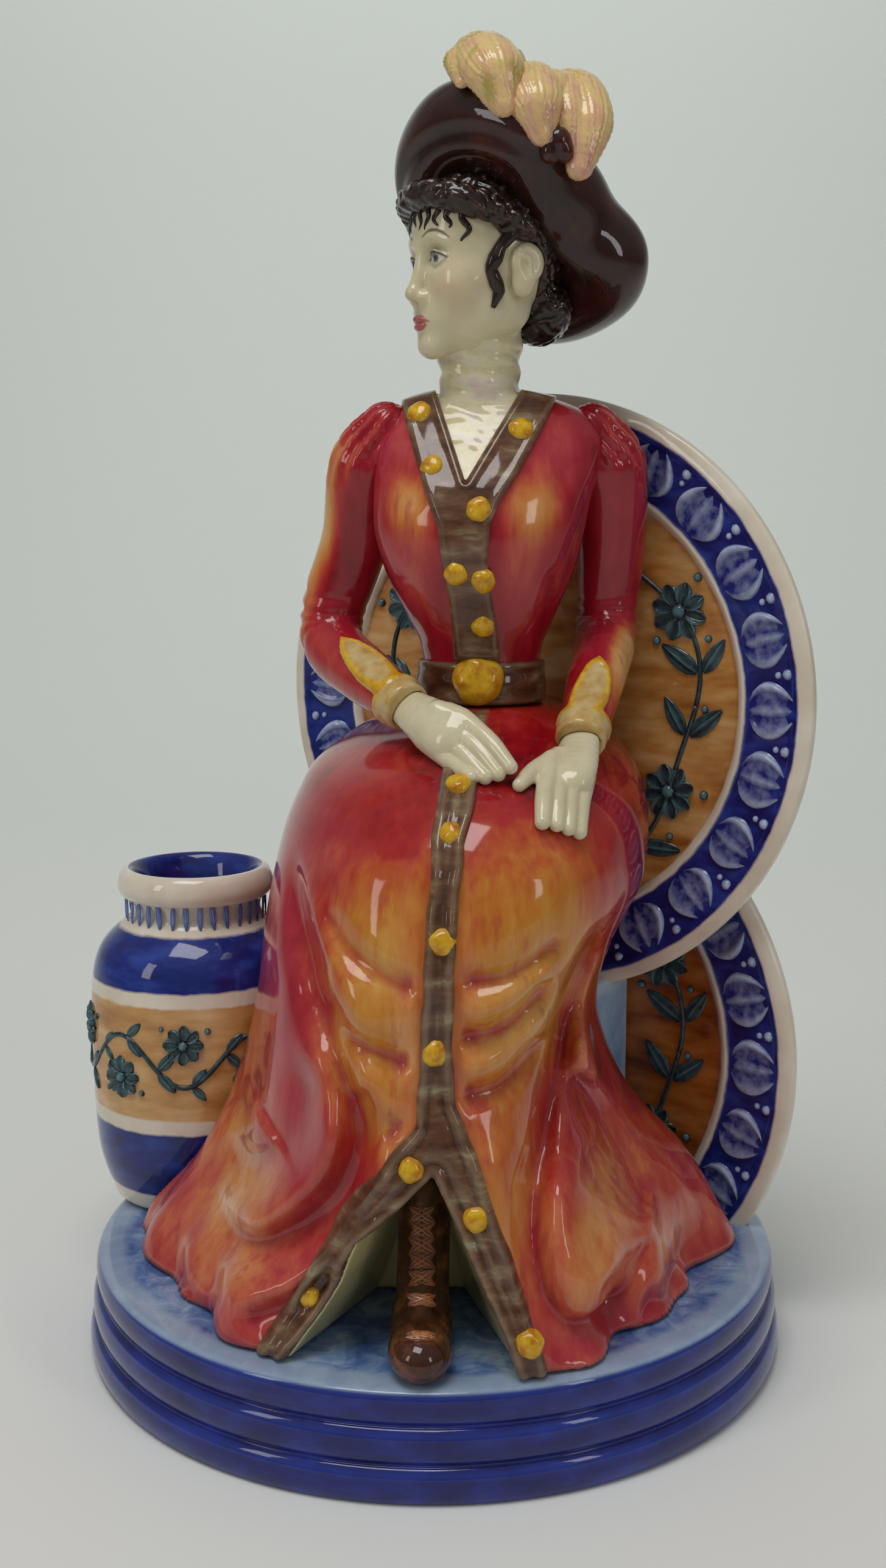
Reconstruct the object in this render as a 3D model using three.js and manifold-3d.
// Ceramic figurine of a seated lady in a long walking dress, with a vase beside her and two chargers
// standing behind. Each piece is cast on its own and luted to its neighbours with a thin seam of slip.
// Millimetres. +X is the viewer's right, +Y points away from the viewer, +Z is up.
// The origin is the centre of the plinth's underside, on the surface that it stands on.
import * as THREE from 'three';
import { mergeVertices } from 'three/addons/utils/BufferGeometryUtils.js';
import Module from 'manifold-3d';

const wasm = await Module();
wasm.setup();

// Joints and walls
const SEAM = 0.3; // slip seam between two luted pieces
const WALL = 3.5; // cast wall of the hollow pieces
const TRIM = 0.9; // thickness of applied trim: belt, lapels, placket, sleeve facings

// Plinth
const PLINTH_RADIUS = 64.4;
const PLINTH_HEIGHT = 18.4;
const PLINTH_TIERS = 3;
const PLINTH_STEP_IN = 0.7; // each tier is this much smaller than the one below
const TIER_ROUND = 1.6; // how far a tier's edge is rounded in
const VENT_RADIUS = 4; // kiln vent in the underside
const VENT_X = 22;
const VENT_Y = -18;

// Chargers
const CHARGER_YAW = THREE.MathUtils.degToRad(33.6); // turned to the viewer's left
const UPPER_RADIUS = 57;
const LOWER_RADIUS = 59;
const LOWER_SETBACK = 5.5; // lower charger's plane behind the upper one's
const LOWER_SHIFT = -5.4; // its centre along the plates, to the viewer's left
const LOWER_CENTRE_HEIGHT = 30.5;
const CHARGER_WALL = 3.2;
const CHARGER_LIP = 2.6; // how far the lip stands in front of the plate's plane
const CHARGER_WELL = 1.2; // how far the middle lies behind it
const WELL_SHARE = 0.74; // well's radius over the charger's
const BAND_SHARE = 0.945; // border's outer radius over the charger's
const FOOT_RING_SHARE = 0.5;
const FOOT_RING_DEPTH = 1.6;

// Seat block that carries the lady and the upper charger
const SEAT_HEIGHT = 45.6;
const SEAT_RIGHT = 18.6; // along the chargers from the upper one's centre
const SEAT_LEFT = -30;
const SEAT_DEPTH = 21;
const SEAT_SLOT = 4.3; // how deep the upper charger stands in the seat
const UPPER_CENTRE = new THREE.Vector3(19.4, 20.5, SEAT_HEIGHT - SEAT_SLOT + UPPER_RADIUS);

// Vase
const VASE_X = -46.7;
const VASE_Y = 19.6;
const VASE_FOOT_RADIUS = 17;
const VASE_BODY_RADIUS = 20.8;
const VASE_NECK_RADIUS = 12.4;
const VASE_LIP_RADIUS = 15.1;
const VASE_HEIGHT = 65.2;
const VASE_NECK_SHARE = 0.875; // neck's height over the vase's
const VASE_WALL = 2.2;

// Dress
const WAIST_HEIGHT = 100.1; // above the plinth
const BELT_HEIGHT = 7.4;
const TORSO_HEIGHT = 54; // from the waist to the shoulders
const SKIRT_TUCK = 2.5; // its skin runs on this far below the plinth's top, and is trimmed there
const SKIRT_WIDEST = 0.66; // share of the depth, from the front, where a section is widest
const BODICE_WIDEST = 0.5;
const BUTTON_RADIUS = 2.15;
const BUTTON_HEIGHT = 1.5;
const BUCKLE_RADIUS = 4.5;

// Cross-sections of the skirt: share of its height, leftmost x, rightmost x, front y, back y
const SKIRT_ROWS = [
  [0, -54, 55, -60, 16],
  [0.056, -51.5, 52.5, -59, 17],
  [0.156, -43.4, 47.4, -56.5, 19],
  [0.276, -37.4, 36.6, -54.5, 21],
  [0.396, -34, 31, -53, 23],
  [0.496, -32, 29.8, -52.3, 24],
  [0.596, -30.8, 32.6, -52, 25],
  [0.696, -29, 37.6, -51, 25],
  [0.776, -27, 38.6, -48.5, 25],
  [0.836, -24.6, 38.2, -44.5, 25],
  [0.886, -21.6, 36.4, -38.5, 24.5],
  [0.936, -15, 32.6, -29, 24],
  [0.976, -7.5, 27.6, -19, 22.5],
  [1, -3.4, 21.2, -14.6, 20],
].map(([share, ...section]) => [share * WAIST_HEIGHT, ...section]);

// Cross-sections of the bodice: height, leftmost x, rightmost x, front y, back y
const BODICE_ROWS = [
  [WAIST_HEIGHT, -2.2, 18.9, -13.4, 8.6],
  [WAIST_HEIGHT + BELT_HEIGHT, -1.9, 18.8, -13.2, 8.2],
  [WAIST_HEIGHT + 14.5, -4.6, 21.2, -15.2, 8.6],
  [WAIST_HEIGHT + 22.5, -8.4, 24.4, -18.2, 9.2],
  [WAIST_HEIGHT + 29.5, -10.4, 26.2, -19.4, 9.6],
  [WAIST_HEIGHT + 35.5, -10.6, 27.4, -18.2, 9.6],
  [WAIST_HEIGHT + 41.5, -10.4, 29.2, -14.8, 9.4],
  [WAIST_HEIGHT + 46.5, -9.4, 30, -11.8, 8.6],
  [WAIST_HEIGHT + 50.5, -6.2, 26.4, -9.4, 7.2],
  [WAIST_HEIGHT + TORSO_HEIGHT, -0.6, 17, -7.6, 5.4],
];

// Folds of the skirt: angle round it, width, depth (a valley is negative), share of height where it starts
const SKIRT_FOLDS = [
  [14, 8, 1.2, 0.416],
  [-66, 9, 1.6, 0.216],
  [-24, 13, -6, 0.555],
  [-40, 12, -2, 0.416],
  [-143, 14, -4, 0.476],
  [-118, 10, -2.4, 0.416],
  [200, 12, -3.6, 0.615],
  [164, 10, 2.5, 0.396],
  [40, 10, -3, 0.416],
  [-54, 9, -4.2, 0.3],
  [-17, 6, -2.2, 0.2],
];

// Main folds in the front of the skirt: height (a valley is negative), width, and the line it follows in
// the front view, as x and share of the skirt's height
const FRONT_FOLDS = [
  [-3.6, 4, [[-21.8, 0.79], [-19, 0.576], [-11.6, 0.39], [-14.2, 0.24], [-27.2, 0.118], [-36, 0.076]]],
  [2.6, 3.8, [[-18.9, 0.575], [-21, 0.39], [-20.7, 0.227], [-36, 0.117]]],
  [-2.4, 3.2, [[-24, 0.715], [-24.6, 0.416], [-33, 0.226], [-43, 0.166]]],
  [2.2, 3.4, [[-27.6, 0.515], [-33, 0.296], [-49, 0.126]]],
  [2.2, 6, [[-39, 0.096], [-30, 0.176], [-24, 0.266]]],
  [1.6, 4.6, [[-8.4, 0.396], [-12.4, 0.216], [-26.4, 0.026]]],
  [-3.6, 3.6, [[26.2, 0.624], [18.9, 0.416], [15.3, 0.194], [22.6, 0.058], [37, 0.126]]],
  [2.6, 3.2, [[22.6, 0.503], [34.4, 0.281], [38.7, 0.209]]],
  [-2.5, 3.2, [[26.4, 0.56], [37.8, 0.317], [46.2, 0.132]]],
  [2.7, 3.8, [[19.6, 0.306], [25.4, 0.132], [32.6, 0.134]]],
  [1.6, 4.6, [[8, 0.396], [11.4, 0.196], [19, 0.06]]],
  [2.2, 3.4, [[36, 0.376], [49.6, 0.15], [52.6, 0.046]]],
].map(([height, width, line]) => [
  height,
  width,
  new THREE.CatmullRomCurve3(line.map(([x, share]) => new THREE.Vector3(x, share * WAIST_HEIGHT, 0))),
]);
const FRONT_FOLDS_Y = [-30, -14]; // they fade out between these
const FOLD_STEPS = 24; // points along a fold's line
const FOLD_ENDS = [-0.04, 0.18]; // a fold rises between these shares of its length from either end

// The slit in the front of the skirt
const SLIT_APEX = new THREE.Vector2(-0.2, 31.3);
const SLIT_LEFT = [[-5.8, 25.8], [-12, 20.6], [-14.8, 14.6], [-19, 7.4], [-25.6, -2]]; // from the apex down
const SLIT_RIGHT = [[3.8, 22.4], [7.1, 14.7], [10.9, 6.4], [13.6, -2]];
const SLIT_FRONT_Y = -70;
const SLIT_MOUTH_Y = -54; // the recess narrows behind this
const SLIT_BACK_Y = -28;
const SLIT_BACK_SHARE = 0.42; // recess's back wall over its mouth
const LINING_WALL = 2;
// How far a grown recess moves sideways, up and at its tip, for each millimetre of growth
const SLIT_GROW_OUT = 0.8;
const SLIT_GROW_UP = 0.7;
const SLIT_GROW_TIP = 0.9;

// Head
const HEAD_ABOVE_WAIST = 74.7;
const HEAD_CENTRE = new THREE.Vector3(8.6, -4.6, WAIST_HEIGHT + HEAD_ABOVE_WAIST);
const HEAD_YAW = THREE.MathUtils.degToRad(-62); // she looks to the viewer's left
const HEAD_HALF_WIDTH = 11.2;
const HEAD_HALF_DEPTH = 13.6;
const HEAD_HALF_HEIGHT = 16.4;
const NECK_RADIUS = 6.6;

const GLAZES = {
  plinthBlue: [0x1f2a86, 0.12],
  paleBlue: [0x9fb6d8, 0.15],
  cream: [0xe9dfc4, 0.14],
  charger: [0xc08a45, 0.14],
  vase: [0x2a3c9a, 0.12],
  dressRed: [0xa8232e, 0.12],
  dressCoral: [0xcf6a4a, 0.12],
  trimBrown: [0x6b4a3a, 0.16],
  gold: [0xe0a21a, 0.14],
  skin: [0xe8dcbc, 0.16],
  blouse: [0xdccfbe, 0.16],
  hair: [0x2a1a18, 0.14],
  hat: [0x3a1f1d, 0.08],
  plume: [0xe3b67c, 0.18],
  boot: [0x4a2315, 0.1],
};

const figurine = new THREE.Group();

function material(glaze) {
  const [color, roughness] = GLAZES[glaze];
  return new THREE.MeshStandardMaterial({ color, roughness, metalness: 0 });
}

// A closed three.js geometry as a solid for cutting and joining.
function solid(geometry) {
  const points = geometry.getAttribute('position').clone();
  const bare = new THREE.BufferGeometry().setAttribute('position', points);
  bare.setIndex(geometry.index ? geometry.index.clone() : null);
  const merged = mergeVertices(bare, 1e-4);
  return new wasm.Manifold(
    new wasm.Mesh({
      numProp: 3,
      vertProperties: new Float32Array(merged.attributes.position.array),
      triVerts: new Uint32Array(merged.index.array),
    }),
  );
}

function geometryOf(body) {
  const mesh = body.getMesh();
  return new THREE.BufferGeometry()
    .setAttribute('position', new THREE.BufferAttribute(new Float32Array(mesh.vertProperties), 3))
    .setIndex(new THREE.BufferAttribute(new Uint32Array(mesh.triVerts), 1));
}

// The largest separate body of a cut, so that no stray sliver stays beside it.
function largest(body) {
  return body.decompose().sort((a, b) => b.volume() - a.volume())[0];
}

// Everything but the plinth is built from its top face up, and then lifted onto it.
function addPiece(name, body, glaze, lift = PLINTH_HEIGHT) {
  const mesh = new THREE.Mesh(geometryOf(largest(body).translate([0, 0, lift])), material(glaze));
  mesh.name = name;
  figurine.add(mesh);
  return mesh;
}

function cut(body, ...tools) {
  return tools.reduce((left, tool) => left.subtract(tool), body);
}

function join(...bodies) {
  return bodies.reduce((sum, body) => sum.add(body));
}

// A closed skin over a stack of rings with the same number of points, its ends closed by flat fans.
function skin(rings) {
  const around = rings[0].length;
  const points = rings.flat();
  const index = [];
  for (let row = 0; row < rings.length - 1; row++) {
    for (let i = 0; i < around; i++) {
      const a = row * around + i;
      const b = row * around + ((i + 1) % around);
      index.push(a, b, b + around, a, b + around, a + around);
    }
  }
  [0, rings.length - 1].forEach((row) => {
    const middle = points.length;
    points.push(rings[row].reduce((sum, p) => sum.add(p), new THREE.Vector3()).divideScalar(around));
    for (let i = 0; i < around; i++) {
      const a = row * around + i;
      const b = row * around + ((i + 1) % around);
      index.push(...(row === 0 ? [middle, b, a] : [middle, a, b]));
    }
  });
  const geometry = new THREE.BufferGeometry().setFromPoints(points);
  geometry.setIndex(index);
  return facingOut(geometry);
}

// Turns the faces round if they point inwards.
function facingOut(geometry) {
  const position = geometry.getAttribute('position');
  const [a, b, c] = [new THREE.Vector3(), new THREE.Vector3(), new THREE.Vector3()];
  const index = geometry.index.array;
  let volume = 0;
  for (let i = 0; i < index.length; i += 3) {
    a.fromBufferAttribute(position, index[i]);
    b.fromBufferAttribute(position, index[i + 1]);
    c.fromBufferAttribute(position, index[i + 2]);
    volume += a.dot(b.cross(c));
  }
  if (volume < 0) {
    for (let i = 0; i < index.length; i += 3) {
      [index[i + 1], index[i + 2]] = [index[i + 2], index[i + 1]];
    }
  }
  return geometry;
}

// The geometry with each point moved out along its normal.
function swell(geometry, amount) {
  if (amount === 0) return geometry;
  const swollen = geometry.clone();
  swollen.computeVertexNormals();
  const position = swollen.getAttribute('position');
  const normal = swollen.getAttribute('normal');
  for (let i = 0; i < position.count; i++) {
    position.setXYZ(
      i,
      position.getX(i) + amount * normal.getX(i),
      position.getY(i) + amount * normal.getY(i),
      position.getZ(i) + amount * normal.getZ(i),
    );
  }
  return swollen;
}

// A row of a section table at height z, by a smooth curve through its rows.
function sectionAt(rows, z) {
  let k = rows.findIndex((row, i) => i > 0 && z <= row[0]);
  if (k < 1) k = rows.length - 1;
  const [low, high] = [rows[k - 1], rows[k]];
  const before = rows[Math.max(k - 2, 0)];
  const after = rows[Math.min(k + 1, rows.length - 1)];
  const span = high[0] - low[0];
  const t = (z - low[0]) / span;
  return low.map((value, i) => {
    if (i === 0) return z;
    const slopeLow = ((high[i] - before[i]) / (high[0] - before[0])) * span;
    const slopeHigh = ((after[i] - low[i]) / (after[0] - low[0])) * span;
    const t2 = t * t;
    const t3 = t2 * t;
    const ends = (2 * t3 - 3 * t2 + 1) * value + (3 * t2 - 2 * t3) * high[i];
    return ends + (t3 - 2 * t2 + t) * slopeLow + (t3 - t2) * slopeHigh;
  });
}

// A ring of a body: a half-ellipse in front and one behind its widest line, with its folds.
function sectionRing(rows, z, around, widestShare, folds = [], frontFolds = []) {
  const [, left, right, front, back] = sectionAt(rows, z);
  const middleX = (left + right) / 2;
  const middleY = front + (back - front) * widestShare;
  const ring = [];
  for (let i = 0; i < around; i++) {
    const angle = (i / around) * 2 * Math.PI;
    const reach = 1 + foldAt(folds, THREE.MathUtils.radToDeg(angle), z) / ((right - left) / 2);
    const depth = Math.sin(angle) < 0 ? middleY - front : back - middleY;
    const point = new THREE.Vector3(
      middleX + ((right - left) / 2) * reach * Math.cos(angle),
      middleY + depth * reach * Math.sin(angle),
      z,
    );
    const out = new THREE.Vector3(depth * Math.cos(angle), ((right - left) / 2) * Math.sin(angle), 0);
    ring.push(point.addScaledVector(out.normalize(), frontFoldAt(frontFolds, point)));
  }
  return ring;
}

// How far the front folds lift a point of the skirt.
function frontFoldAt(folds, point) {
  const fade = 1 - THREE.MathUtils.smoothstep(point.y, ...FRONT_FOLDS_Y);
  if (fade === 0) return 0;
  return folds.reduce((sum, [height, width, curve]) => {
    const line = curve.getPoints(FOLD_STEPS);
    const off = line.map(({ x, y }) => Math.hypot(point.x - x, point.z - y));
    const nearest = off.indexOf(Math.min(...off));
    const toEnd = Math.min(nearest, FOLD_STEPS - nearest) / FOLD_STEPS;
    const bump = Math.exp(-((off[nearest] / width) ** 2));
    return sum + height * fade * bump * THREE.MathUtils.smoothstep(toEnd, ...FOLD_ENDS);
  }, 0);
}

function foldAt(folds, degrees, z) {
  return folds.reduce((sum, [angle, width, depth, share]) => {
    const top = share * WAIST_HEIGHT;
    const off = THREE.MathUtils.euclideanModulo(degrees - angle + 180, 360) - 180;
    const ramp = THREE.MathUtils.smoothstep(top - z, 0, top);
    return sum + depth * ramp * Math.exp(-((off / width) ** 2));
  }, 0);
}

// Even heights between two ends.
function heights(low, high, count) {
  return Array.from({ length: count }, (_, i) => low + (high - low) * (i / (count - 1)));
}

function ellipsoid(centre, radii, grow = 0, around = 16, rows = 9) {
  const ball = new THREE.SphereGeometry(1, around, rows);
  ball.scale(...radii.toArray().map((r) => r + grow));
  ball.translate(centre.x, centre.y, centre.z);
  return solid(ball);
}

// A limb: an elliptic section swept along a curve through points, with a radius at each point. `flat` is
// the section's thickness over its width, and `across` the direction of its width.
function limb(points, radii, options = {}) {
  const { grow = 0, around = 14, rows = 14, flat = 1, across = new THREE.Vector3(1, 0, 0) } = options;
  const path = new THREE.CatmullRomCurve3(points, false, 'centripetal');
  const rings = [];
  for (let row = 0; row < rows; row++) {
    const t = row / (rows - 1);
    const place = path.getPoint(t);
    const along = path.getTangent(t);
    const side = across.clone().addScaledVector(along, -across.dot(along)).normalize();
    const up = new THREE.Vector3().crossVectors(along, side);
    const at = t * (radii.length - 1);
    const k = Math.min(Math.floor(at), radii.length - 2);
    const radius = THREE.MathUtils.lerp(radii[k], radii[k + 1], THREE.MathUtils.smoothstep(at - k, 0, 1));
    if (row === 0) place.addScaledVector(along, -grow);
    if (row === rows - 1) place.addScaledVector(along, grow);
    rings.push(
      Array.from({ length: around }, (_, i) => {
        const angle = (i / around) * 2 * Math.PI;
        return place
          .clone()
          .addScaledVector(side, (radius + grow) * Math.cos(angle))
          .addScaledVector(up, (radius * flat + grow) * Math.sin(angle));
      }),
    );
  }
  return solid(skin(rings));
}

function lathe(profile, around = 60) {
  const turned = new THREE.LatheGeometry(profile.map(([r, z]) => new THREE.Vector2(r, z)), around);
  turned.rotateX(Math.PI / 2);
  turned.scale(1, -1, 1);
  const bare = mergeVertices(new THREE.BufferGeometry()
    .setAttribute('position', turned.getAttribute('position'))
    .setIndex(turned.index), 1e-4);
  return facingOut(bare);
}

// A prism from an outline in the X-Z plane, running along Y.
function prism(outline, nearY, farY) {
  const shape = new THREE.Shape(outline.map(([x, z]) => new THREE.Vector2(x, z)));
  const block = new THREE.ExtrudeGeometry(shape, { depth: farY - nearY, bevelEnabled: false });
  block.rotateX(Math.PI / 2);
  block.translate(0, farY, 0);
  return solid(block);
}

// Stands a turned plate up in its own frame: along the plates, up, towards the viewer.
function standUp(geometry, centre) {
  const along = new THREE.Vector3(Math.cos(CHARGER_YAW), -Math.sin(CHARGER_YAW), 0);
  const up = new THREE.Vector3(0, 0, 1);
  const placed = new THREE.Matrix4().makeBasis(along, up, new THREE.Vector3().crossVectors(along, up));
  return geometry.clone().applyMatrix4(placed.setPosition(centre));
}

function chargerProfile(radius, grow) {
  const well = radius * WELL_SHARE;
  const band = radius * BAND_SHARE;
  const foot = radius * FOOT_RING_SHARE;
  const front = grow;
  const back = -CHARGER_WALL - grow;
  return [
    [0, front - CHARGER_WELL],
    [well - 1, front - CHARGER_WELL],
    [well + 1, front],
    [band - 0.8, front + CHARGER_LIP - 0.9],
    [band + 0.4, front + CHARGER_LIP],
    [radius - 0.7 + grow, front + CHARGER_LIP],
    [radius + grow, front + CHARGER_LIP - 0.9],
    [radius + grow, back + CHARGER_LIP + 0.9],
    [radius - 1 + grow, back + CHARGER_LIP],
    [well + 3, back],
    [foot + 2.2 + grow, back - CHARGER_WELL],
    [foot + 1.6 + grow, back - CHARGER_WELL - FOOT_RING_DEPTH],
    [foot - 0.6 - grow, back - CHARGER_WELL - FOOT_RING_DEPTH],
    [foot - 1.4 - grow, back - CHARGER_WELL],
    [0, back - CHARGER_WELL],
  ];
}

// The lower charger's centre, behind the upper one's plane.
function lowerCentre() {
  const along = new THREE.Vector3(Math.cos(CHARGER_YAW), -Math.sin(CHARGER_YAW), 0);
  const behind = new THREE.Vector3(Math.sin(CHARGER_YAW), Math.cos(CHARGER_YAW), 0);
  return UPPER_CENTRE.clone()
    .setZ(LOWER_CENTRE_HEIGHT)
    .addScaledVector(along, LOWER_SHIFT)
    .addScaledVector(behind, LOWER_SETBACK);
}

const CHARGER_SIDES = 44;

function upperCharger(grow = 0) {
  return solid(standUp(lathe(chargerProfile(UPPER_RADIUS, grow), CHARGER_SIDES), UPPER_CENTRE));
}

function lowerCharger(grow = 0) {
  return solid(standUp(lathe(chargerProfile(LOWER_RADIUS, grow), CHARGER_SIDES), lowerCentre()));
}

// A box in the chargers' frame: along them, up from the plinth, and forwards from the upper one's plane.
function chargerBox([left, low, back], [right, high, front]) {
  const box = new THREE.BoxGeometry(right - left, high - low, front - back);
  box.translate((left + right) / 2, (low + high) / 2, (back + front) / 2);
  return solid(standUp(box, UPPER_CENTRE.clone().setZ(0)));
}

const REACH = 400; // longer than anything here

function slab(low, high) {
  const box = new THREE.BoxGeometry(REACH, REACH, high - low);
  box.translate(0, 0, (low + high) / 2);
  return solid(box);
}

// Plinth: three rounded tiers round one hollow, with a kiln vent in the underside
function plinth() {
  const tier = PLINTH_HEIGHT / PLINTH_TIERS;
  const outside = [[0, 0]];
  for (let k = 0; k < PLINTH_TIERS; k++) {
    const radius = PLINTH_RADIUS - k * PLINTH_STEP_IN;
    const low = k * tier;
    outside.push([radius - TIER_ROUND, low]);
    outside.push([radius - TIER_ROUND * 0.3, low + tier * 0.16]);
    outside.push([radius, low + tier * 0.45]);
    outside.push([radius - TIER_ROUND * 0.25, low + tier * 0.8]);
    outside.push([radius - TIER_ROUND * 0.9, low + tier * 0.97]);
  }
  const top = PLINTH_RADIUS - PLINTH_TIERS * PLINTH_STEP_IN - TIER_ROUND;
  outside.push([top, PLINTH_HEIGHT], [0, PLINTH_HEIGHT]);
  const inner = PLINTH_RADIUS - PLINTH_TIERS * PLINTH_STEP_IN - TIER_ROUND - WALL;
  const inside = [[0, WALL], [inner, WALL], [inner, PLINTH_HEIGHT - WALL], [0, PLINTH_HEIGHT - WALL]];
  const vent = new THREE.CylinderGeometry(VENT_RADIUS, VENT_RADIUS, WALL * 3, 20);
  vent.rotateX(Math.PI / 2);
  vent.translate(VENT_X, VENT_Y, 0);
  return cut(solid(lathe(outside, 48)), solid(lathe(inside, 24)), solid(vent));
}

function vaseProfile(grow, hollow) {
  const h = VASE_HEIGHT;
  const neck = VASE_NECK_RADIUS + grow;
  const body = VASE_BODY_RADIUS + grow;
  const outside = [
    [0, -grow],
    [VASE_FOOT_RADIUS + grow, -grow],
    [VASE_FOOT_RADIUS + 0.7 + grow, h * 0.035],
    [body - 1.2, h * 0.13],
    [body - 0.2, h * 0.27],
    [body, h * 0.45],
    [body - 0.1, h * 0.62],
    [body - 1, h * 0.72],
    [body - 3.6, h * 0.79],
    [neck + 1, h * 0.835],
    [neck, h * VASE_NECK_SHARE],
    [neck + 0.6, h * 0.9],
    [VASE_LIP_RADIUS - 0.5 + grow, h * 0.915],
    [VASE_LIP_RADIUS + grow, h * 0.945],
    [VASE_LIP_RADIUS - 0.7 + grow, h * 0.98],
  ];
  if (!hollow) return [...outside, [VASE_LIP_RADIUS - 1.5 + grow, h + grow], [0, h + grow]];
  return [
    ...outside,
    [VASE_LIP_RADIUS - 1.6, h],
    [VASE_NECK_RADIUS - VASE_WALL + 1.7, h * 0.985],
    [VASE_NECK_RADIUS - VASE_WALL, h * 0.93],
    [VASE_NECK_RADIUS - VASE_WALL, h * 0.82],
    [VASE_BODY_RADIUS - VASE_WALL - 2, h * 0.71],
    [VASE_BODY_RADIUS - VASE_WALL, h * 0.5],
    [VASE_BODY_RADIUS - VASE_WALL - 0.8, h * 0.16],
    [VASE_FOOT_RADIUS - VASE_WALL, VASE_WALL + 0.6],
    [0, VASE_WALL],
  ];
}

function vase(grow = 0, hollow = true) {
  const turned = lathe(vaseProfile(grow, hollow), 36);
  turned.translate(VASE_X, VASE_Y, SEAM);
  return solid(turned);
}

// Skirt and bodice
function skirtGeometry() {
  const rings = heights(-SKIRT_TUCK, WAIST_HEIGHT, 25);
  return skin(rings.map((z) => sectionRing(SKIRT_ROWS, z, 60, SKIRT_WIDEST, SKIRT_FOLDS, FRONT_FOLDS)));
}

function skirtBody(grow = 0) {
  return solid(swell(skirtGeometry(), grow));
}

function bodiceGeometry() {
  const rings = heights(WAIST_HEIGHT, WAIST_HEIGHT + TORSO_HEIGHT, 12);
  return skin(rings.map((z) => sectionRing(BODICE_ROWS, z, 24, BODICE_WIDEST)));
}

function bodiceBody(grow = 0) {
  return solid(swell(bodiceGeometry(), grow));
}

// The tent-shaped recess behind the slit.
function slitRecess(grow = 0) {
  const rings = [
    [SLIT_FRONT_Y, 1],
    [SLIT_MOUTH_Y, 1],
    [SLIT_BACK_Y + grow, SLIT_BACK_SHARE],
  ].map(([y, share]) => {
    const low = SLIT_LEFT.at(-1)[1];
    const point = ([x, z], side) => {
      const out = (z > low ? SLIT_GROW_OUT : 1) * side * grow;
      const up = (z > low ? SLIT_GROW_UP : 0) * grow;
      const along = SLIT_APEX.x + (x - SLIT_APEX.x) * share;
      return new THREE.Vector3(along + out, y, low + (z - low) * (share + 1) * 0.5 + up);
    };
    const tip = point([SLIT_APEX.x, SLIT_APEX.y], 0).add(new THREE.Vector3(0, 0, SLIT_GROW_TIP * grow));
    const right = SLIT_RIGHT.map((p) => point(p, 1)).reverse();
    return [tip, ...SLIT_LEFT.map((p) => point(p, -1)), ...right];
  });
  return solid(skin(rings));
}

// A skin of applied trim over a body, inside a region.
function trimOver(bodyOf, region, depth = TRIM) {
  return cut(bodyOf(SEAM + depth).intersect(region), bodyOf(SEAM));
}

function frontPrism(outline, farY) {
  return prism(outline, -REACH / 4, farY);
}

// Points whose heights are measured from the waist.
function aboveWaist(rows) {
  return rows.map(([x, y, z]) => new THREE.Vector3(x, y, WAIST_HEIGHT + z));
}

const NECK = [
  [8.6, -0.4, 39.5],
  [8.2, -1.6, 49.5],
  [7.9, -2.8, 56.5],
  [8.2, -3.4, 63],
];

function neck(grow = 0) {
  return limb(aboveWaist(NECK), [7.6, 7.2, NECK_RADIUS + 0.1, NECK_RADIUS], { grow, around: 14, rows: 7 });
}

// The V-shaped front of the blouse, inside the bodice's opening.
const BLOUSE_V = [[0.2, WAIST_HEIGHT + 54], [5.2, WAIST_HEIGHT + 38.1], [15, WAIST_HEIGHT + 54]];
const BLOUSE_FRONT = -3;
const BLOUSE_LOW = 31.5;
const FRONT_BAND_BACK = -1; // the band ends here on the shoulders

// Brown band: both lapels and the front closing in one piece. x, and height above the waist
const FRONT_BAND = [
  [-6.2, 53], [-3.2, 42], [-1.4, 35.5], [0.4, 30.8], [1.2, 24.8], [2.4, 18.8], [3.2, 11],
  [3.4, BELT_HEIGHT + SEAM], [11.4, BELT_HEIGHT + SEAM], [10.8, 13.5], [9.7, 18.8], [8.9, 24.8],
  [9.3, 30.8], [10.9, 34.8], [14.1, 39.6], [17.2, 45.1], [21.4, 53],
].map(([x, above]) => [x, WAIST_HEIGHT + above]);

// Brown band down the skirt, parting over the slit. x, and share of the skirt's height
const upSkirt = ([x, share]) => [x, WAIST_HEIGHT * share];
const BAND_LEFT = [[0.9, 0.905], [-0.3, 0.825], [-1.4, 0.675], [-2.2, 0.495], [-3, 0.39]].map(upSkirt);
const BAND_RIGHT = [[3.2, 0.42], [2.8, 0.495], [3.4, 0.675], [4.8, 0.825], [7.3, 0.905]].map(upSkirt);
const SKIRT_BAND = [
  [3.6, WAIST_HEIGHT - SEAM],
  ...BAND_LEFT,
  [-10.4, 30], [-16, 21.4], [-22, 10.6], [-30.4, -2],
  ...[...SLIT_LEFT].reverse(), [SLIT_APEX.x, SLIT_APEX.y], ...SLIT_RIGHT,
  [18.8, -2], [13.8, 13], [9.8, 24.9], [6.6, 34.4],
  ...BAND_RIGHT,
  [9.4, WAIST_HEIGHT - SEAM],
];

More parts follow.
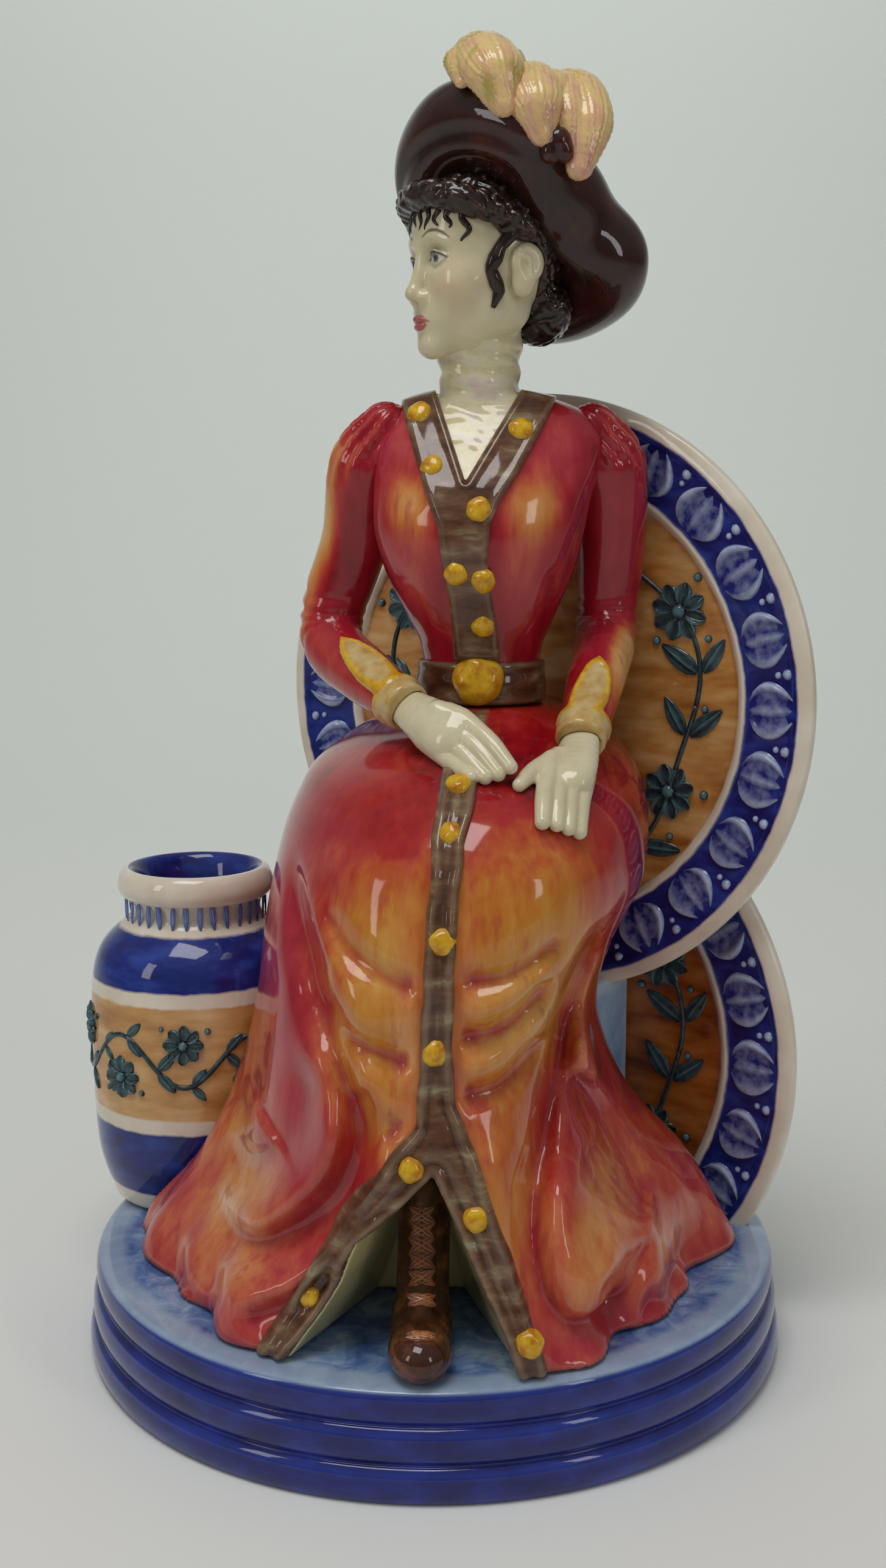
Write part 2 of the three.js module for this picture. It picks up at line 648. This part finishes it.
// Arms
const ARMS = {
  left: {
    path: [
      [-8.4, -0.5, 47.4], [-12, 1.6, 40.6], [-14.2, 4.6, 28.5], [-18.4, 6, 16],
      [-18, 2.4, 9.1], [-12, -8, 4.7], [-4.6, -19.5, 0.4],
    ],
    radii: [4.8, 7, 6.1, 5.9, 5.6, 5.1, 3.9],
    hand: [[-4.6, -19.5, 0.4], [-0.8, -25.6, -1.1], [4, -30.5, -4.1]],
    spread: [[-3.1, 1, -2], [-1, 0.3, -0.5], [1.1, -0.2, 0.6], [3, -0.4, 1.8]],
    fingers: [[2.6, -3.4, -2.4], [5.2, -6.4, -6.2]],
    thumb: [[0.6, -26.6, 0.5], [5.2, -29, -0.9], [9, -32.5, -5]],
    across: [0.55, 0.35, 0.75],
    leaf: [[-16.6, -3, 11.3], [-9.4, -15, 2.9]],
  },
  right: {
    path: [
      [27.8, -0.5, 47], [31, 2.2, 40.6], [32, 5.2, 28.5], [31.6, 6.4, 16],
      [30.8, 2, 9.3], [28, -10, 3.5], [24.4, -23.5, -4.7],
    ],
    radii: [5, 6.9, 6.3, 5.6, 5.5, 5, 3.9],
    hand: [[24.4, -23.5, -4.7], [22.8, -29.2, -7.7], [20.8, -34.2, -11.3]],
    spread: [[-2.9, -0.6, 0.5], [-1, 0, 0.2], [1.1, 0, 0], [3.1, -0.5, -0.4]],
    fingers: [[-1, -4, -3.2], [-2.2, -7, -8]],
    thumb: [[20.4, -28.4, -6.9], [16.4, -32.6, -8.5], [13.4, -36.4, -11.1]],
    across: [0.95, -0.1, 0.3],
    leaf: [[30.2, -6, 9.1], [26.4, -18.5, -1.1]],
  },
};
const CUFF_START = 0.93; // share of the arm's length where the cuff's ring begins
const LEAF_WIDTH = 4.2;

function sleeve(side, grow = 0) {
  return limb(aboveWaist(ARMS[side].path), ARMS[side].radii, { grow, around: 12, rows: 14 });
}

// Cuff: a ring round the wrist with a leaf-shaped facing that runs up the forearm.
function cuff(side) {
  const arm = ARMS[side];
  const path = new THREE.CatmullRomCurve3(aboveWaist(arm.path), false, 'centripetal');
  const [from, to] = [path.getPoint(CUFF_START), path.getPoint(1)];
  const ring = limb([from, from.clone().lerp(to, 0.5), to], [7, 7, 7], { around: 10, rows: 3 });
  const [leafTip, leafEnd] = aboveWaist(arm.leaf);
  const leafLine = [leafTip, leafTip.clone().lerp(leafEnd, 0.5), leafEnd];
  const leaf = limb(leafLine, [1, LEAF_WIDTH, LEAF_WIDTH + 1], { around: 10, rows: 6 });
  return cut(sleeve(side, SEAM + TRIM).intersect(join(ring, leaf)), sleeve(side, SEAM));
}

function hand(side, grow = 0) {
  const arm = ARMS[side];
  const across = new THREE.Vector3(...arm.across).normalize();
  const options = { grow, across, flat: 0.56, around: 10, rows: 5 };
  const wrist = aboveWaist(arm.hand);
  const parts = [limb(wrist, [3.3, 4, 4.1], options)];
  arm.spread.forEach((offset) => {
    const knuckle = wrist[2].clone().add(new THREE.Vector3(...offset));
    const joints = [knuckle, ...arm.fingers.map((step) => knuckle.clone().add(new THREE.Vector3(...step)))];
    parts.push(limb(joints, [1.25, 1.2, 0.9], { grow, around: 6, rows: 4 }));
  });
  parts.push(limb(aboveWaist(arm.thumb), [1.5, 1.3, 0.9], { grow, around: 6, rows: 4 }));
  return join(...parts);
}

// Moves a body from the head's own frame, facing the viewer at the origin, to its place on the neck.
function turned(body) {
  const spun = body.rotate([0, 0, THREE.MathUtils.radToDeg(HEAD_YAW)]);
  return spun.translate(HEAD_CENTRE.toArray());
}

// An ellipsoid in the head's own frame, its centre and radii as shares of the head's half sizes.
function headPart(centre, radii, grow, around = 16, rows = 9) {
  const half = new THREE.Vector3(HEAD_HALF_WIDTH, HEAD_HALF_DEPTH, HEAD_HALF_HEIGHT);
  const place = new THREE.Vector3(...centre).multiply(half);
  return ellipsoid(place, new THREE.Vector3(...radii).multiply(half), grow, around, rows);
}

// Head: plain egg-shaped skull and jaw with a small nose and two ears, turned to the viewer's left
function head(grow = 0) {
  const skull = headPart([0, 0.07, 0.2], [1, 0.98, 0.8], grow);
  const jaw = headPart([0, -0.3, -0.38], [0.72, 0.62, 0.62], grow);
  const nose = headPart([0, -0.93, -0.14], [0.134, 0.132, 0.17], grow, 10, 8);
  const ears = [-1, 1].map((side) => headPart([side * 0.97, 0.1, -0.12], [0.1, 0.16, 0.21], grow, 10, 8));
  return turned(join(skull, jaw, nose, ...ears));
}

// Hair: a cap over the skull, with a soft fringe above the brow and a low knot at the back.
function hair(grow = 0) {
  const cap = headPart([0, 0.12, 0.24], [1.143, 1.103, 0.82], grow);
  const face = headPart([0, -1.2, -0.5], [1.4, 1.26, 0.98], -grow);
  const knot = headPart([0, 0.72, -0.42], [0.643, 0.412, 0.366], grow, 16, 10);
  return turned(join(cut(cap, face), knot));
}

// Hat: a wide puffed brim and a low crown, tipped back from the face
const HAT_ABOVE_HEAD = 8.8;
const HAT_CENTRE = new THREE.Vector3(14.4, 1.1, HEAD_CENTRE.z + HAT_ABOVE_HEAD);
const HAT_AXIS = new THREE.Vector3(0.54, 0.5, 0.68).normalize();
const HAT_RADIUS = 25;
const HAT_THICK = 8;
const CROWN_RADIUS = 14.5;
const CROWN_HEIGHT = 10;
const HAT_DENT = 6; // the brim is pushed in this far beside the plumes
const HAT_DENT_AT = THREE.MathUtils.degToRad(-54); // round the hat's axis
const HAT_DENT_WIDTH = 0.5; // radians to either side

function onHat(body) {
  const spin = new THREE.Quaternion().setFromUnitVectors(new THREE.Vector3(0, 0, 1), HAT_AXIS);
  const placed = new THREE.Matrix4().makeRotationFromQuaternion(spin).setPosition(HAT_CENTRE);
  return body.transform(placed.toArray());
}

function hat(grow = 0) {
  const brimRadii = new THREE.Vector3(HAT_RADIUS, HAT_RADIUS, HAT_THICK);
  const crownRadii = new THREE.Vector3(CROWN_RADIUS, CROWN_RADIUS, CROWN_HEIGHT);
  const brim = ellipsoid(new THREE.Vector3(), brimRadii, grow, 28, 10).warp((point) => {
    const off = Math.atan2(point[1], point[0]) - HAT_DENT_AT;
    const shrunk = 1 - (HAT_DENT / HAT_RADIUS) * Math.exp(-((off / HAT_DENT_WIDTH) ** 4));
    point[0] *= shrunk;
    point[1] *= shrunk;
  });
  const crown = ellipsoid(new THREE.Vector3(0, 0, 1), crownRadii, grow);
  return onHat(join(brim, crown));
}

// Plumes along the top of the hat, from the viewer's left to right
const PLUMES = [
  [[6.4, -4, 99], [7.6, -11, 105.5], [9.6, -18, 102.4], [11, -20.8, 96.2]],
  [[13, -6, 97], [15.6, -13, 102.2], [16.4, -19.2, 97.8], [17, -21.2, 91.6]],
  [[18, -2, 95.5], [21.6, -10, 101.9], [24.4, -16.6, 95], [23, -19.6, 85.6]],
];
const PLUME_RADII = [
  [3.2, 5.6, 5.8, 2.6],
  [2.4, 4.6, 5, 2.8],
  [2.6, 5.4, 5.4, 2.6],
];
const KNOT_ABOVE_HEAD = 16.2;
const HAT_KNOT = new THREE.Vector3(20, -19.6, HEAD_CENTRE.z + KNOT_ABOVE_HEAD);
const HAT_KNOT_RADIUS = 2.6;

function plume(k, grow = 0) {
  return limb(aboveWaist(PLUMES[k]), PLUME_RADII[k], { grow, around: 10, rows: 9, flat: 0.8 });
}

// Boot under the slit
const BOOT_SHAFT = [[-2, -46, 3.6], [-1.8, -41.5, 10.6], [-1.6, -38.6, 17.6], [-1.6, -37, 23.6]];

function boot(grow = 0) {
  const foot = ellipsoid(new THREE.Vector3(-2.2, -52.4, 4), new THREE.Vector3(4.7, 10.6, 4.3), grow, 14, 8);
  const shaft = limb(
    BOOT_SHAFT.map((point) => new THREE.Vector3(...point)),
    [4.2, 3.9, 3.8, 4],
    { grow, around: 12, rows: 5 },
  );
  return join(foot, shaft);
}

// A button or buckle: a low dome that sits on the surface of a body at a point of the front view.
function dome(radius, height) {
  const edge = [[radius, -height], [radius, height * 0.45], [radius * 0.8, height * 0.85]];
  return lathe([[0, -height], ...edge, [0, height]], 10);
}

function onSurface(surface, x, z) {
  const probe = new THREE.Mesh(surface);
  const ray = new THREE.Raycaster(new THREE.Vector3(x, -REACH, z), new THREE.Vector3(0, 1, 0));
  const [hit] = ray.intersectObject(probe);
  const outward = hit.face.normal.clone();
  const spin = new THREE.Quaternion().setFromUnitVectors(new THREE.Vector3(0, 0, 1), outward);
  return new THREE.Matrix4().makeRotationFromQuaternion(spin).setPosition(hit.point);
}

function button(bodyOf, surface, x, z, radius = BUTTON_RADIUS, height = BUTTON_HEIGHT) {
  const place = onSurface(surface, x, z);
  return cut(solid(dome(radius, height).applyMatrix4(place)), bodyOf(TRIM + 2 * SEAM));
}

// Buttons: x in the front view, and height above the waist or the plinth
const BODICE_BUTTONS = [
  [-2.6, 49.9], [-0.4, 40.7], [14.7, 46.9], [7.4, 33.4], [3.6, 22.7], [8, 21.5], [8.3, 13.8],
].map(([x, above]) => [x, WAIST_HEIGHT + above]);
const PLACKET_BUTTONS = [[3.7, 0.901], [2.2, 0.836], [1.3, 0.675], [0.4, 0.501]].map(upSkirt);
const SKIRT_BUTTONS = [...PLACKET_BUTTONS, [-3.6, 32.6], [6.4, 25], [-20, 9.8], [14.6, 6.2]];
const BUCKLE = [7.5, WAIST_HEIGHT + BELT_HEIGHT / 2];

// Assembly. Each piece is trimmed by the pieces that it is luted to.
const onPlinth = slab(-REACH, SEAM);
const vaseKeepOut = vase(SEAM, false);
const upperKeepOut = upperCharger(SEAM);
const behindUpper = chargerBox([-REACH / 2, -REACH / 2, -REACH / 2], [REACH / 2, REACH, CHARGER_LIP * 0.2]);
const slitKeepOut = slitRecess(LINING_WALL + SEAM);

addPiece('plinth', plinth(), 'plinthBlue', 0);
addPiece('vase', vase(), 'vase');
addPiece('charger_upper', upperCharger(), 'charger');
addPiece('charger_lower', cut(lowerCharger(), onPlinth, upperKeepOut), 'charger');

const seatBack = -LOWER_SETBACK - CHARGER_WELL + SEAM;
const seatBox = (grow) =>
  chargerBox(
    [SEAT_LEFT - grow, SEAM - grow, seatBack - grow],
    [SEAT_RIGHT + grow, SEAT_HEIGHT + grow, seatBack + SEAT_DEPTH + grow],
  );
addPiece('seat_block', cut(seatBox(0), upperKeepOut, lowerCharger(SEAM), vaseKeepOut), 'paleBlue');

const handsKeepOut = join(hand('left', SEAM), hand('right', SEAM));
const sleevesKeepOut = join(sleeve('left', SEAM), sleeve('right', SEAM));
const cuffsKeepOut = join(sleeve('left', 2 * SEAM + TRIM), sleeve('right', 2 * SEAM + TRIM));
const trunk = cut(skirtBody(), slab(WAIST_HEIGHT - SEAM, WAIST_HEIGHT + REACH));
const dressCuts = [onPlinth, seatBox(SEAM), vaseKeepOut, upperKeepOut, behindUpper];
const skirtCuts = [...dressCuts, slitKeepOut, cuffsKeepOut, handsKeepOut, boot(SEAM)];
addPiece('skirt', cut(trunk, ...skirtCuts), 'dressCoral');
addPiece(
  'skirt_lining',
  cut(slitRecess(LINING_WALL), slitRecess(), onPlinth).intersect(skirtBody(-SEAM)).subtract(boot(SEAM)),
  'cream',
);
addPiece('boot', cut(boot(), onPlinth), 'boot');
const skirtBand = trimOver(skirtBody, frontPrism(SKIRT_BAND, SLIT_BACK_Y + WALL));
addPiece('skirt_band', cut(skirtBand, onPlinth, slitRecess(), cuffsKeepOut, handsKeepOut), 'trimBrown');

const blouseV = (grow) => {
  const outline = BLOUSE_V.map(([x, z], i) => [x + (i - 1) * grow, i === 1 ? z - 2 * grow : z + grow]);
  return bodiceBody(SEAM).intersect(frontPrism(outline, BLOUSE_FRONT));
};
const blouse = join(neck(), blouseV(0));
const blouseKeepOut = join(neck(SEAM), blouseV(SEAM));
addPiece('bodice', cut(bodiceBody(), slab(-REACH, WAIST_HEIGHT), blouseKeepOut, sleevesKeepOut), 'dressRed');
addPiece('blouse', cut(blouse, slab(-REACH, WAIST_HEIGHT + BLOUSE_LOW)), 'blouse');
const frontBand = trimOver(bodiceBody, frontPrism(FRONT_BAND, FRONT_BAND_BACK));
const neckline = frontPrism(BLOUSE_V, FRONT_BAND_BACK);
addPiece('front_band', cut(frontBand, blouseKeepOut, sleevesKeepOut, neckline), 'trimBrown');
addPiece(
  'belt',
  cut(trimOver(bodiceBody, slab(WAIST_HEIGHT, WAIST_HEIGHT + BELT_HEIGHT)), sleevesKeepOut),
  'trimBrown',
);

['left', 'right'].forEach((side) => {
  addPiece(`sleeve_${side}`, cut(sleeve(side), hand(side, SEAM)), 'dressRed');
  addPiece(`cuff_${side}`, cut(cuff(side), hand(side, SEAM), bodiceBody(SEAM)), 'gold');
  addPiece(`hand_${side}`, cut(hand(side), skirtBody(SEAM)), 'skin');
});

const headKeepOut = head(SEAM);
const hairKeepOut = hair(SEAM);
const hatKeepOut = hat(SEAM);
addPiece('head', cut(head(), blouseKeepOut), 'skin');
addPiece('hair', cut(hair(), headKeepOut, blouseKeepOut), 'hair');
addPiece('hat', cut(hat(), headKeepOut, hairKeepOut), 'hat');
['left', 'middle', 'right'].forEach((place, k) => {
  const others = PLUMES.map((_, j) => j).filter((j) => j < k).map((j) => plume(j, SEAM));
  addPiece(`plume_${place}`, cut(plume(k), hatKeepOut, ...others), 'plume');
});
const plumesKeepOut = join(...PLUMES.map((_, k) => plume(k, SEAM)));
const knotRadii = new THREE.Vector3().setScalar(HAT_KNOT_RADIUS);
const hatKnot = ellipsoid(HAT_KNOT, knotRadii, 0, 12, 8);
addPiece('hat_knot', cut(hatKnot, hatKeepOut, plumesKeepOut), 'hat');

const bodiceSurface = swell(bodiceGeometry(), SEAM + TRIM);
const skirtSurface = swell(skirtGeometry(), SEAM + TRIM);
BODICE_BUTTONS.forEach(([x, z], i) => {
  addPiece(`bodice_button_${i + 1}`, cut(button(bodiceBody, bodiceSurface, x, z), sleevesKeepOut), 'gold');
});
SKIRT_BUTTONS.forEach(([x, z], i) => {
  const placed = cut(button(skirtBody, skirtSurface, x, z), handsKeepOut, onPlinth);
  addPiece(`skirt_button_${i + 1}`, placed, 'gold');
});
const buckle = button(bodiceBody, bodiceSurface, ...BUCKLE, BUCKLE_RADIUS, BUTTON_HEIGHT * 1.2);
addPiece('buckle', cut(buckle, skirtBody(TRIM + 2 * SEAM)), 'gold');

export default figurine;
